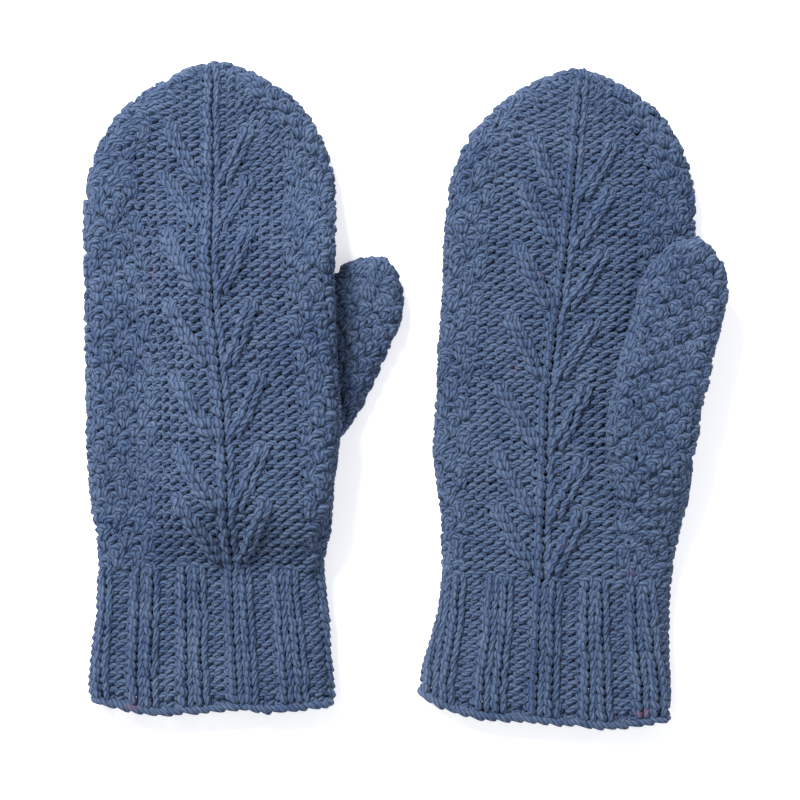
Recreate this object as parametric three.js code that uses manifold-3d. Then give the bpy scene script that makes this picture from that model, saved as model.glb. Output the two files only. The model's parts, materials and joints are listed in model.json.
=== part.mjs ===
// A pair of hand-knitted mittens lying flat, left mitten back up, right mitten palm up.
// Millimetres, +Z up, +Y towards the fingertips, origin at the centre of the resting face.
// Each mitten is one fabric tube, divided where the fabric bends: cast-on edge, ribbed cuff,
// wrist, hand, knuckles, fingers and drawn-up tip, with a thumb that grows out of the palm.
import * as THREE from 'three';
import { mergeVertices } from 'three/addons/utils/BufferGeometryUtils.js';
import Module from 'manifold-3d';

const wasm = await Module();
wasm.setup();

// Fabric and fit
const FABRIC = 4.4; // wall of the knitted hand and cuff
const THUMB_FABRIC = 3.7; // wall of the thumb
const LYING_THICKNESS = 16; // a hand or cuff lying empty, both layers and the space between
const THUMB_THICKNESS = 14; // a thumb lying empty
const GAP = 0.3; // between neighbouring sections of the fabric

// Lengths along the mitten, from the hem
const CAST_ON_LENGTH = 3.5;
const CUFF_LENGTH = 55;
const WRIST_LENGTH = 28; // fabric that bends between cuff and hand
const KNUCKLE_LENGTH = 28; // fabric that bends between hand and fingers
const CROWN_HEIGHT = 65; // rounded top of the hand
const CROWN_POWER = 2.3;
const CROWN_ROUNDNESS = 0.6;
const TIP_LENGTH = 6; // stitches drawn up at the top

// Half widths of the lying tube
const WRIST_HALF_WIDTH = 46.8;
const HAND_HALF_WIDTH = 52.6;
const WAIST_AT = 58; // narrowest place, from the hem
const FULL_WIDTH_AT = 112; // where the hand reaches its full width
const HEM_STRAIGHT = 8; // length of hem before the cuff draws in

// Thumb
const THUMB_HALF_WIDTH = 18.7;
const THUMB_TAPER = 0.7; // how much narrower each side is at the start of the thumb's crown
const THUMB_CROWN = 26;
const THUMB_TIP_LENGTH = 3.5;
const THUMB_EDGE_ROOM = 0.9; // from the edge of the hand in to the edge of the thumb's base
const CROTCH_X = HAND_HALF_WIDTH - THUMB_HALF_WIDTH - THUMB_EDGE_ROOM; // where the thumb leaves the palm
const CROTCH_Y = 115;
const CROTCH_RADIUS = 0.6;

// How the left hand lies over its own thumb
const DRAPE_SIDE_ROOM = 14.3; // raised fabric beside the thumb's inner edge
const DRAPE_SLOPE_WIDTH = 33; // from there down to the table
const DRAPE_BASE_ROOM = 11; // raised fabric below the thumb's base
const DRAPE_FALL_BEFORE = 15; // where the fabric starts down, before the thumb's reach
const DRAPE_FALL_AFTER = 23; // where it is down again, past the thumb's reach

// Woven-in yarn ends
const YARN_RADIUS = 1.1;
const TIP_TAIL_LENGTH = 12;
const THUMB_TAIL_LENGTH = 36;
const TAIL_START = 6; // from the edge of the section that holds it
const CAST_ON_TAIL_END = 3.5; // from the end of the cast-on tail to the top of the cuff

// How the pair lies
const BETWEEN_HANDS = 32.5; // room for the left thumb, at the hem
const HEM_STEP = 4.9; // how much lower the right hem lies

const WOOL = { color: 0x4a5b79, roughness: 0.92, metalness: 0 };

const LEFT = {
  side: 'left',
  hem: [0, 0],
  lean: 0, // degrees, anticlockwise
  length: 270,
  fingerLength: 42, // from the knuckles' last round to the tip
  hemHalfWidth: 51,
  thumbAngle: 25.7, // degrees out from the mitten's axis
  thumbLength: 84,
  thumbBelow: true,
};
const RIGHT = {
  side: 'right',
  hem: [2 * HAND_HALF_WIDTH + BETWEEN_HANDS, -HEM_STEP],
  lean: -3.2,
  length: 273,
  fingerLength: 45,
  hemHalfWidth: 53.4,
  thumbAngle: 11.5,
  thumbLength: 89,
  thumbBelow: false,
};

const smooth = (value, from, to) => THREE.MathUtils.smoothstep(value, from, to);
const mix = THREE.MathUtils.lerp;

// A flat oval section as [x, z] points: straight top and bottom, rounded sides.
function flatOval(halfWidth, thickness, endSteps, flatSteps) {
  const endWidth = Math.min(thickness / 2, halfWidth * 0.9);
  const points = [];
  for (const side of [1, -1]) {
    for (let i = 0; i <= endSteps; i++) {
      const turn = Math.PI * (i / endSteps - 0.5);
      const across = halfWidth - endWidth + endWidth * Math.cos(turn);
      points.push([side * across, (side * thickness * Math.sin(turn)) / 2 + thickness / 2]);
    }
    for (let i = 1; i < flatSteps; i++) {
      const across = (halfWidth - endWidth) * (1 - (2 * i) / flatSteps);
      points.push([side * across, side > 0 ? thickness : 0]);
    }
  }
  return points;
}

// Joins rings of equal length into one skin. A ring shell closes on itself, as a hollow tube does;
// otherwise the first and last rings are closed by a fan of triangles.
function loft(rings, isRingShell) {
  const around = rings[0].length;
  const positions = rings.flat().flatMap((p) => [p.x, p.y, p.z]);
  const index = [];
  const spans = isRingShell ? rings.length : rings.length - 1;
  for (let r = 0; r < spans; r++) {
    const here = r * around;
    const next = ((r + 1) % rings.length) * around;
    for (let i = 0; i < around; i++) {
      const j = (i + 1) % around;
      index.push(here + i, here + j, next + j, here + i, next + j, next + i);
    }
  }
  if (!isRingShell) {
    for (const [r, flip] of [[0, true], [rings.length - 1, false]]) {
      const centre = new THREE.Vector3();
      rings[r].forEach((p) => centre.addScaledVector(p, 1 / around));
      const hub = positions.length / 3;
      positions.push(centre.x, centre.y, centre.z);
      for (let i = 0; i < around; i++) {
        const a = r * around + i;
        const b = r * around + ((i + 1) % around);
        index.push(hub, flip ? b : a, flip ? a : b);
      }
    }
  }
  const geometry = new THREE.BufferGeometry();
  geometry.setAttribute('position', new THREE.Float32BufferAttribute(positions, 3));
  geometry.setIndex(index);
  return facingOut(geometry);
}

// Turns every triangle round if the solid is inside out.
function facingOut(geometry) {
  const { array } = geometry.attributes.position;
  const index = geometry.index.array;
  const corner = (i) => new THREE.Vector3().fromArray(array, 3 * index[i]);
  let volume = 0;
  for (let i = 0; i < index.length; i += 3) {
    volume += corner(i).dot(corner(i + 1).cross(corner(i + 2)));
  }
  if (volume < 0) {
    for (let i = 0; i < index.length; i += 3) {
      [index[i], index[i + 1]] = [index[i + 1], index[i]];
    }
  }
  return geometry;
}

function toSolid(geometry) {
  const bare = new THREE.BufferGeometry();
  bare.setAttribute('position', geometry.attributes.position.clone());
  if (geometry.index) bare.setIndex(geometry.index.clone());
  const merged = mergeVertices(bare, 1e-4);
  return new wasm.Manifold(new wasm.Mesh({
    numProp: 3,
    vertProperties: new Float32Array(merged.attributes.position.array),
    triVerts: new Uint32Array(merged.index.array),
  }));
}

function toGeometry(solid) {
  const mesh = solid.getMesh();
  const geometry = new THREE.BufferGeometry();
  geometry.setAttribute('position', new THREE.BufferAttribute(mesh.vertProperties, mesh.numProp));
  geometry.setIndex(new THREE.BufferAttribute(mesh.triVerts, 1));
  return geometry;
}

function piece(name, geometry) {
  geometry.computeVertexNormals();
  const mesh = new THREE.Mesh(geometry, new THREE.MeshStandardMaterial(WOOL));
  mesh.name = name;
  return mesh;
}

// Places along a section, no further apart than the step.
function stations(from, to, step) {
  const count = Math.ceil((to - from) / step - 1e-6);
  return Array.from({ length: count + 1 }, (_, i) => mix(from, to, i / count));
}

// Places along a rounded top, closer together towards its end.
function crownStations(from, to, count) {
  return Array.from({ length: count + 1 }, (_, i) => {
    return from + (to - from) * Math.sin((Math.PI / 2) * (i / count));
  });
}

// How much of its width a rounded top keeps, at a share of its height.
const crownShare = (share) => {
  return (1 - Math.max(0, share) ** CROWN_POWER) ** CROWN_ROUNDNESS;
};

function knitMitten(options) {
  const { side, length, thumbLength, thumbBelow } = options;
  const group = new THREE.Group();
  const add = (name, geometry) => group.add(piece(`${side}_${name}`, geometry));
  const thumbTop = GAP + CROTCH_RADIUS + THUMB_THICKNESS;
  const raised = thumbBelow ? thumbTop : 0;

  // Height that the fabric is lifted off the table by a thumb underneath it.
  const raisedFromX = CROTCH_X - THUMB_HALF_WIDTH - DRAPE_SIDE_ROOM;
  const raisedFromY = CROTCH_Y - THUMB_THICKNESS - DRAPE_BASE_ROOM;
  const thumbReach = CROTCH_Y + thumbLength;
  const drape = (x, y) => {
    const rise = smooth(y, CUFF_LENGTH, raisedFromY);
    const fall = 1 - smooth(y, thumbReach - DRAPE_FALL_BEFORE, thumbReach + DRAPE_FALL_AFTER);
    return raised * rise * fall * smooth(x, raisedFromX - DRAPE_SLOPE_WIDTH, raisedFromX);
  };
  const bodyHalfWidth = (y) => {
    if (y < WAIST_AT) {
      return mix(options.hemHalfWidth, WRIST_HALF_WIDTH, smooth(y, HEM_STRAIGHT, WAIST_AT));
    }
    return mix(WRIST_HALF_WIDTH, HAND_HALF_WIDTH, smooth(y, WAIST_AT, FULL_WIDTH_AT));
  };
  // The outline of the fabric, or of the space inside it when inset by a wall.
  const halfWidth = (y, inset, end) => {
    const crown = CROWN_HEIGHT - (length - end);
    return (bodyHalfWidth(y) - inset) * crownShare((y - (end - crown)) / crown);
  };
  const ring = (y, inset, end = length) => {
    const section = flatOval(halfWidth(y, inset, end), LYING_THICKNESS - 2 * inset, 5, 8);
    return section.map(([x, z]) => new THREE.Vector3(x, y, z + inset + drape(x, y)));
  };
  const openTube = (from, to, step) => {
    const places = stations(from, to, step);
    const outer = places.map((y) => ring(y, 0));
    const inner = places.map((y) => ring(y, FABRIC)).reverse();
    return loft([...outer, ...inner], true);
  };

  // Cuff and wrist
  const wristEnd = CUFF_LENGTH + WRIST_LENGTH;
  const knuckleEnd = length - options.fingerLength;
  const knuckleStart = knuckleEnd - KNUCKLE_LENGTH;
  const half = GAP / 2;
  add('cast_on_edge', openTube(0, CAST_ON_LENGTH - half, 4));
  add('cuff_rib', openTube(CAST_ON_LENGTH + half, CUFF_LENGTH - half, 13));
  add('wrist_rounds', openTube(CUFF_LENGTH + half, wristEnd - half, 7));

  // Hand, with the hole that the thumb grows from cut in the palm
  const hand = toSolid(openTube(wristEnd + half, knuckleStart - half, 11));
  const thumbFrame = new THREE.Matrix4().makeRotationZ(-THREE.MathUtils.degToRad(options.thumbAngle));
  thumbFrame.setPosition(CROTCH_X, CROTCH_Y, 0);
  const fromPalm = (x, y, z) => {
    const height = thumbBelow ? raised - z : LYING_THICKNESS + z;
    return new THREE.Vector3(x, y, height).applyMatrix4(thumbFrame);
  };
  const thumbSection = (width, thickness, inset) => {
    return flatOval(width - inset, thickness - 2 * inset, 4, 4).map(([x, z]) => [x, z + inset]);
  };
  const holeSection = thumbSection(THUMB_HALF_WIDTH, THUMB_THICKNESS, THUMB_FABRIC);
  const hole = loft([-FABRIC - 2, GAP / 2].map((z) => {
    return holeSection.map(([x, r]) => fromPalm(x, -(CROTCH_RADIUS + r), z));
  }), false);
  add('hand', toGeometry(hand.subtract(toSolid(hole))));

  // Knuckles, fingers and the drawn-up tip
  add('knuckle_rounds', openTube(knuckleStart + half, knuckleEnd - half, 7));
  const outerPlaces = crownStations(knuckleEnd + half, length - TIP_LENGTH, 6);
  const innerEnd = length - TIP_LENGTH - FABRIC;
  const innerPlaces = crownStations(knuckleEnd + half, innerEnd - 2, 6);
  const fingerRings = [
    ...innerPlaces.map((y) => ring(y, FABRIC, innerEnd)).reverse(),
    ...outerPlaces.map((y) => ring(y, 0)),
  ];
  add('finger_section', loft(fingerRings, false));
  const tipPlaces = crownStations(length - TIP_LENGTH + GAP, length - 0.2, 4);
  add('tip_gather', loft(tipPlaces.map((y) => ring(y, 0)), false));

  // Thumb: a quarter turn of fabric out of the palm, then a tube along it
  const elbowRing = (turn, inset) => {
    return thumbSection(THUMB_HALF_WIDTH, THUMB_THICKNESS, inset).map(([x, r]) => {
      const radius = CROTCH_RADIUS + r;
      return fromPalm(x, -radius * Math.cos(turn), GAP + radius * Math.sin(turn));
    });
  };
  const turns = stations(0, Math.PI / 2, Math.PI / 10);
  const elbow = [
    ...turns.map((turn) => elbowRing(turn, 0)),
    ...turns.map((turn) => elbowRing(turn, THUMB_FABRIC)).reverse(),
  ];
  add('thumb_gusset', loft(elbow, true));
  const thumbRing = (y, inset, end = thumbLength) => {
    const crown = THUMB_CROWN - (thumbLength - end);
    const taper = THUMB_TAPER * smooth(y, 0, thumbLength - THUMB_CROWN);
    const width = (THUMB_HALF_WIDTH - taper - inset) * crownShare((y - (end - crown)) / crown);
    const section = flatOval(width, THUMB_THICKNESS - 2 * inset, 4, 4);
    return section.map(([x, z]) => fromPalm(x, y, GAP + CROTCH_RADIUS + inset + z));
  };
  const straight = stations(GAP, thumbLength - THUMB_CROWN, 20);
  const thumbInnerEnd = thumbLength - THUMB_TIP_LENGTH - THUMB_FABRIC;
  const thumbOuter = crownStations(thumbLength - THUMB_CROWN, thumbLength - THUMB_TIP_LENGTH, 5);
  const thumbInner = crownStations(thumbLength - THUMB_CROWN, thumbInnerEnd - 1, 5);
  const thumbRings = [
    ...[...straight, ...thumbInner.slice(1)].map((y) => thumbRing(y, THUMB_FABRIC, thumbInnerEnd)).reverse(),
    ...[...straight, ...thumbOuter.slice(1)].map((y) => thumbRing(y, 0)),
  ];
  add('thumb_tube', loft(thumbRings, false));
  const thumbTipPlaces = crownStations(thumbLength - THUMB_TIP_LENGTH + GAP, thumbLength - 0.2, 3);
  add('thumb_tip_gather', loft(thumbTipPlaces.map((y) => thumbRing(y, 0)), false));

  // Yarn ends woven in along the fold of the fabric, inside
  const tail = (tailLength) => {
    const outline = new THREE.Shape().absarc(0, 0, YARN_RADIUS, 0, 2 * Math.PI);
    const rod = new THREE.ExtrudeGeometry(outline, {
      depth: tailLength,
      curveSegments: 4,
      bevelEnabled: false,
    });
    return rod.rotateX(-Math.PI / 2);
  };
  const beside = (innerHalfWidth) => -(innerHalfWidth - YARN_RADIUS - GAP);
  const cuffInner = Math.min(WRIST_HALF_WIDTH, options.hemHalfWidth) - FABRIC;
  const castOnTailStart = CAST_ON_LENGTH + TAIL_START;
  add('cast_on_tail', tail(CUFF_LENGTH - CAST_ON_TAIL_END - castOnTailStart).translate(
    beside(cuffInner),
    castOnTailStart,
    LYING_THICKNESS / 2,
  ));
  const tipTailStart = knuckleEnd + TAIL_START / 2;
  const tipInner = halfWidth(tipTailStart + TIP_TAIL_LENGTH, FABRIC, innerEnd);
  add('tip_tail', tail(TIP_TAIL_LENGTH).translate(
    beside(tipInner),
    tipTailStart,
    LYING_THICKNESS / 2,
  ));
  const thumbTail = tail(THUMB_TAIL_LENGTH);
  const thumbMiddle = GAP + CROTCH_RADIUS + THUMB_THICKNESS / 2;
  const tailSide = beside(THUMB_HALF_WIDTH - THUMB_TAPER - THUMB_FABRIC);
  const tailHeight = fromPalm(0, 0, thumbMiddle).z;
  thumbTail.translate(tailSide, TAIL_START, tailHeight).applyMatrix4(thumbFrame);
  add('thumb_tail', thumbTail);

  group.position.set(...options.hem, 0);
  group.rotation.z = THREE.MathUtils.degToRad(options.lean);
  return group;
}

const pair = new THREE.Group();
pair.add(knitMitten(LEFT), knitMitten(RIGHT));

// Centres the pair over its resting face.
pair.updateMatrixWorld(true);
const bounds = new THREE.Box3().setFromObject(pair, true);
const middle = bounds.getCenter(new THREE.Vector3());
pair.position.set(-middle.x, -middle.y, -bounds.min.z);

export default pair;
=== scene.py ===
import json
import math

import bpy
import numpy as np
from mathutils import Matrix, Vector


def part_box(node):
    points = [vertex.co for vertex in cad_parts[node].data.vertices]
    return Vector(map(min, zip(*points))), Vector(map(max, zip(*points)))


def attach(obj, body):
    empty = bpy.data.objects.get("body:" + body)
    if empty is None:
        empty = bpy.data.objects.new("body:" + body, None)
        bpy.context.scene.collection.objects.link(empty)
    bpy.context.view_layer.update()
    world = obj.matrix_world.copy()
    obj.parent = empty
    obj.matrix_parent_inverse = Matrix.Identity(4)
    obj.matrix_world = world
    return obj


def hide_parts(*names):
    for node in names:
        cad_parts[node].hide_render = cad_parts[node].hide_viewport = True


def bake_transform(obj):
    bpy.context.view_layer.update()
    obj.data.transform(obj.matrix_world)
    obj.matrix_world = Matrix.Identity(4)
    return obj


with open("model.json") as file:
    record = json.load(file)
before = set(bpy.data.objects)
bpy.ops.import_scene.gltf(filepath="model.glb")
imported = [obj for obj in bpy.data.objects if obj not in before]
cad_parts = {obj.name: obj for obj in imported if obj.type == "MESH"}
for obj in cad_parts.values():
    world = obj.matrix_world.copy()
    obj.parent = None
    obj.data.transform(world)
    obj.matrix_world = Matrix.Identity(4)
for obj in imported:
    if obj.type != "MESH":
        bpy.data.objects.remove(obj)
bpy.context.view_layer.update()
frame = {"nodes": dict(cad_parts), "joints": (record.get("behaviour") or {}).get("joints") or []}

# A pair of hand-knitted wool mittens, built stitch by stitch. Lengths here are millimetres
# until a piece is made; a mitten's own frame has its hem at y 0 and its palm towards +z.
METRE = 0.001

# The lying tube
LYING_THICKNESS = 16.0
WALL_DEPTH = 2.3            # from the outside of the tube to the middle of its fabric
WAIST_HALF_WIDTH = 46.8
WAIST_AT = 58.0
FULL_WIDTH_AT = 112.0
HEM_STRAIGHT = 8.0
HEM_CURVE_FADES_AT = 45.0
CAST_ON_STEPS = 12          # points along each turn of the cast-on's winding
HEM_RIPPLE = 0.8            # the hem's edge waves up and down by this much
HEM_WAVES = 1.6             # half waves from the middle of the hem to its side
WRIST_AT = 69.0             # from the hem to the joint at the wrist
CROWN_HEIGHT = 65.0
CROWN_POWER = 2.3
CROWN_ROUNDNESS = 0.6
FACE_SWELL = 1.2            # the upper face is fuller in the middle

# The thumb and how the left hand lies over it
THUMB_THICKNESS = 14.0
THUMB_HALF_WIDTH = 18.7
THUMB_CROWN = 26.0
THUMB_CLEARANCE = 0.9
THUMB_LIFT = 1.6            # more room, for the stitches that stand out of hand and thumb
THUMB_BEND_LENGTH = 26.0
DRAPE_INNER_X = -33.0
DRAPE_OUTER_X = 0.0
DRAPE_RISE = (55.0, 90.0)
DRAPE_FALL = (184.0, 222.0)
GUSSET_START = 66.0
GUSSET_START_X = 40.0
GUSSET_START_HALF_WIDTH = 9.0

# Gauge
CAST_ON_HEIGHT = 3.2
RIB_ROUNDS = 16
RIB_TOP = 59.5
RIB_STITCHES = 40
RIB_KNIT_SHARE = 1.2        # a knit stitch of the rib against an average one
HAND_ROUND = 3.62
HAND_PITCH = 4.6
CROWN_ROUNDS = 19
CROWN_CLOSED_AT = 0.985
TIP_LENGTH = 14.0
TRUNK_WIDTH = 7.0
TREE_GROUND = 6             # purl stitches on each side of the trunk
THUMB_STITCHES = 16
THUMB_ROUND = 3.7
THUMB_CROWN_ROUNDS = 8
THUMB_CLOSED_AT = 0.97
THUMB_GUSSET_ROUNDS = 7     # the thumb's first rounds
GUSSET_BEND_LENGTH = 24.0   # from the joint along the thumb
CUFF_LEAD = 2.5             # from under the trunk to the middle of a knit pair

# Yarn
YARN_RADIUS = 1.31
UNEVEN_UP = 0.17            # in rounds
UNEVEN_OUT = 0.32
LOOP_DEPTH = 1.0            # how far a loop swings to each side of the fabric's middle
KNIT_SPREAD = 1.2           # the legs of a tree's or rib's knit stitch stand further apart
LEG_GIRTHS = (1.07, 0.9)    # a knit stitch's left leg lies plumper than its right one
PLY_PITCH = 10.0            # the yarn's plies turn once in this length
PLY_HAND = -1               # and which way they turn
PLIES = 4
FLOOR_ROOM = 0.05           # between the lowest yarn and the floor
SETTLE = 0.4                # how softly yarn settles against the floor

# Loose fibres
HALO = 0.2                  # fibres for each point along the yarn
HAIR_LENGTHS = (1.0, 1.6, 2.6)
HAIR_CHANCES = (0.6, 0.3, 0.1)
HAIR_GIRTHS = (0.055, 0.042, 0.012)
HAIR_ROOT = 0.8             # how deep a fibre starts, as a share of the yarn's radius

# A woven-in end
TAIL_SHARE = 0.94           # of its solid's length
TAIL_RADIUS = 0.8

# A piece's map: its yarn unrolled in rows, and above them its loose fibres
MAP_SPARE_LENGTH = 6.0      # a row's last face may run over by this much
YARN_STRIP = (0.0, 0.96)
HALO_STRIP = (0.965, 1.0)

# Where sections of the fabric divide, from the hem
CUFF_END = 55.0
WRIST_END = 83.0
HAND_MIDDLE = 141.0
KNUCKLE_START = 200.0
KNUCKLE_END = 228.0

# How far a kind of stitch stands out of the fabric, and how plump its yarn lies
STAND = {"trunk": 0.6, "branch": 1.35, "rib_knit": 0.8, "rib_purl": -0.8, "ground": -0.35}
PLUMPNESS = {"trunk": 1.2, "branch": 1.18, "rib_knit": 1.12, "rib_purl": 1.0, "ground": 0.98,
             "moss": 1.13, "seed": 1.15}

SAMPLES = 400               # along each half of a round
SECTION_STEPS = 1600


def smooth(value, low, high):
    t = np.clip((np.asarray(value, float) - low) / (high - low), 0, 1)
    return t * t * (3 - 2 * t)


def mix(a, b, share):
    return a + (b - a) * share


def crown_share(share):
    return (1 - np.clip(share, 0, 1) ** CROWN_POWER) ** CROWN_ROUNDNESS


def unit(vectors):
    return vectors / np.maximum(np.linalg.norm(vectors, axis=-1, keepdims=True), 1e-9)


def flat_oval(half, thick, turn):
    """Points of a flat oval, from the middle of the palm face by +x round to it again."""
    end = np.minimum(thick, 0.9 * half)
    straight = half - end
    arc = math.pi * end
    q = (turn % 1) * (4 * straight + 2 * arc)
    first = (q - straight) / end
    second = (q - 3 * straight - arc) / end
    spans = [q < straight, q < straight + arc, q < 3 * straight + arc, q < 3 * straight + 2 * arc]
    x = np.select(
        spans,
        [q, straight + end * np.sin(first), 2 * straight + arc - q, -straight - end * np.sin(second)],
        q - 4 * straight - 2 * arc,
    )
    z = np.select(spans, [thick, thick * np.cos(first), -thick, -thick * np.cos(second)], thick)
    return x, z


# ---------------------------------------------------------------- mittens in their own frame

class Mitten:
    """One mitten's frame and sizes, read from the fixed model."""

    def __init__(self, side, thumb_below, palm_trunk, back_trunk, thumb_shift, thumb_roll, hem_corners,
                 right_swell, left_swell, tip_shift, tip_room, ripple_at, seed):
        self.side, self.thumb_below = side, thumb_below
        self.thumb_shift, self.hem_corners = thumb_shift, hem_corners
        self.right_swell, self.left_swell = right_swell, left_swell
        self.tip_shift, self.tip_room = tip_shift, tip_room
        self.ripple_at = ripple_at
        self.palm_trunk, self.back_trunk = palm_trunk, back_trunk
        self.random = np.random.default_rng(seed)
        joints = {j["name"]: j for j in frame["joints"]}
        fold = joints[f"{side}_finger_fold"]
        self.across = np.array(fold["axis"], float)
        self.up = np.array([-self.across[1], self.across[0], 0])
        wrist = np.array(joints[f"{side}_wrist_bend"]["pos_m"], float) / METRE
        self.hem = wrist - WRIST_AT * self.up
        self.hem[2] = 0
        self.crotch = self.local(np.array(joints[f"{side}_thumb_swing"]["pos_m"], float) / METRE)
        self.length = self.reach("tip_gather", 1)
        self.top = self.length - self.tip_room
        self.hem_half = self.reach("cast_on_edge", 0)
        self.hand_half = self.reach("hand", 0)
        self.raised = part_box(f"{side}_thumb_tube")[1].z / METRE if thumb_below else 0
        if thumb_below:
            self.raised += THUMB_CLEARANCE + THUMB_LIFT
        tip = self.corners("thumb_tip_gather")
        away = tip.mean(0) - self.crotch
        self.thumb_angle = math.atan2(away[0], away[1])
        self.thumb_length = ((tip - self.crotch) @ self.thumb_direction()).max()
        self.facing = -1 if thumb_below else 1
        # a lying thumb rolls a little way round its joint's place
        self.crotch[:2] += thumb_roll

    def corners(self, node):
        mesh = frame["nodes"][f"{self.side}_{node}"].data
        co = np.empty(3 * len(mesh.vertices))
        mesh.vertices.foreach_get("co", co)
        return self.local(co.reshape(-1, 3) / METRE)

    def reach(self, node, axis):
        return self.corners(node)[:, axis].max()

    def local(self, point):
        away = point - self.hem
        return np.stack([away @ self.across, away @ self.up, away[..., 2]], -1)

    def thumb_direction(self):
        return np.array([np.sin(self.thumb_angle), np.cos(self.thumb_angle), 0])

    def world(self, x, y, z, lift):
        """From a mitten's own frame, with z from the middle of the tube, to the pair's frame."""
        height = LYING_THICKNESS / 2 + lift + self.facing * z
        flat = self.hem + x[..., None] * self.across + y[..., None] * self.up
        flat[..., 2] = height
        return flat

    def drape(self, x, y):
        along = smooth(y, *DRAPE_RISE) * (1 - smooth(y, *DRAPE_FALL))
        return self.raised * along * smooth(x, DRAPE_INNER_X, DRAPE_OUTER_X)


class Level:
    """The closed line that the feet of one round follow, evenly spaced along each half."""

    def __init__(self, points, start, middle):
        closed = np.vstack([points, points[:1]])
        steps = np.linalg.norm(np.diff(closed, axis=0), axis=1)
        along = np.concatenate([[0], np.cumsum(steps)])
        total = along[-1]
        begin, half = along[start], along[middle]
        if half < begin:
            half += total
        self.lengths = half - begin, total - (half - begin)
        stops = np.concatenate([
            np.linspace(begin, half, SAMPLES, endpoint=False),
            np.linspace(half, begin + total, SAMPLES, endpoint=False),
        ])
        wrapped = stops % total
        self.points = np.stack([np.interp(wrapped, along, closed[:, i]) for i in range(3)], -1)


def drift(random, waves=9):
    """A slow uneven field over a tube, about -1 to 1, for a hand's uneven tension."""
    turns = random.integers(1, 12, waves)
    rises = random.uniform(-0.7, 0.7, waves)
    phases = random.uniform(0, 2 * math.pi, waves)

    def field(across, up):
        total = 0
        for turn, rise, phase in zip(turns, rises, phases):
            total = total + np.sin(math.pi * turn * across + rise * up + phase)
        return total / math.sqrt(waves * 1.5)

    return field


class Tube:
    """A knitted tube's surface, from its levels. Across runs 0 to 2, once round; up is the level."""

    def __init__(self, levels, random):
        self.levels = levels
        self.uneven_up, self.uneven_out = drift(random), drift(random)
        grid = np.stack([level.points for level in levels])
        across = np.roll(grid, -1, 1) - np.roll(grid, 1, 1)
        up = np.gradient(grid, axis=0)
        self.grid = grid
        self.normals = unit(np.cross(unit(across), unit(up)))

    def sample(self, field, across, up):
        top = len(self.levels) - 1
        row = np.clip(np.floor(up).astype(int), 0, top - 1)
        rise = (up - row)[..., None]
        place = (across % 2) * SAMPLES
        left = np.floor(place).astype(int) % (2 * SAMPLES)
        right = (left + 1) % (2 * SAMPLES)
        part = (place - np.floor(place))[..., None]
        low = mix(field[row, left], field[row, right], part)
        high = mix(field[row + 1, left], field[row + 1, right], part)
        return low + (high - low) * rise

    def point(self, across, up, out):
        out = out + UNEVEN_OUT * self.uneven_out(across, up)
        up = up + UNEVEN_UP * self.uneven_up(across, up)
        normal = unit(self.sample(self.normals, across, up))
        return self.sample(self.grid, across, up) + normal * out[..., None]


def hand_section(mitten, y, turn, with_gusset, crown_rise=None):
    """Palm-up points of one level of the hand or cuff."""
    top = mitten.top
    crown_start = mitten.length - CROWN_HEIGHT

    def shape(s):
        body = np.where(
            s < WAIST_AT,
            mix(mitten.hem_half, WAIST_HALF_WIDTH, smooth(s, HEM_STRAIGHT, WAIST_AT)),
            mix(WAIST_HALF_WIDTH, mitten.hand_half, smooth(s, WAIST_AT, FULL_WIDTH_AT)),
        )
        share = crown_share((s - crown_start) / (top - crown_start))
        thick = (LYING_THICKNESS / 2 - WALL_DEPTH) * (0.3 + 0.7 * np.sqrt(share))
        top_draw = 1 - 0.12 * smooth(s, top - 16, top)
        return (body - WALL_DEPTH) * np.maximum(share * top_draw, 0.004), thick

    half, thick = shape(np.asarray(y, float))
    x, z = flat_oval(half, thick, turn)
    s = np.full_like(x, y)
    if crown_rise is not None:
        # rounds near the top run further up at the sides, so that no stitch is stretched
        outline = np.linspace(crown_start, top, 600)
        edge = shape(outline)[0]
        run = np.concatenate([[0], np.cumsum(np.hypot(np.diff(outline), np.diff(edge)))])
        side = np.interp(crown_rise * run[-1], run, outline)
        s = mix(s, side, np.clip(np.abs(x) / half, 0, 1) ** 2)
        half, thick = shape(s)
        x, z = flat_oval(half, thick, turn)
    # the corners of the hem lie a little higher than its middle
    corner = np.where(x < 0, *mitten.hem_corners) * np.clip(np.abs(x) / half, 0, 1) ** 3.2
    ripple = HEM_RIPPLE * np.sin(math.pi * (HEM_WAVES * x / half + mitten.ripple_at))
    s = s + corner * (1 - smooth(y, 0, HEM_CURVE_FADES_AT)) + ripple * (1 - smooth(y, 0, 18))
    upper = np.clip(mitten.facing * z / thick, 0, 1)
    z = z + mitten.facing * FACE_SWELL * upper * (1 - np.clip(x / half, -1, 1) ** 2)
    if with_gusset:
        z = z + gusset_rise(mitten, x, s, z / thick)
    swell = np.interp(s, *mitten.right_swell) * np.clip(x / half, 0, 1) ** 2
    swell = swell - np.interp(s, *mitten.left_swell) * np.clip(-x / half, 0, 1) ** 2
    x = x + swell + mitten.tip_shift * smooth(s, crown_start + 15, top + 6)
    return x, s, z


def thumb_base_x(mitten):
    """Where the thumb's middle line meets the palm."""
    return mitten.crotch[0] + mitten.thumb_shift


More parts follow.
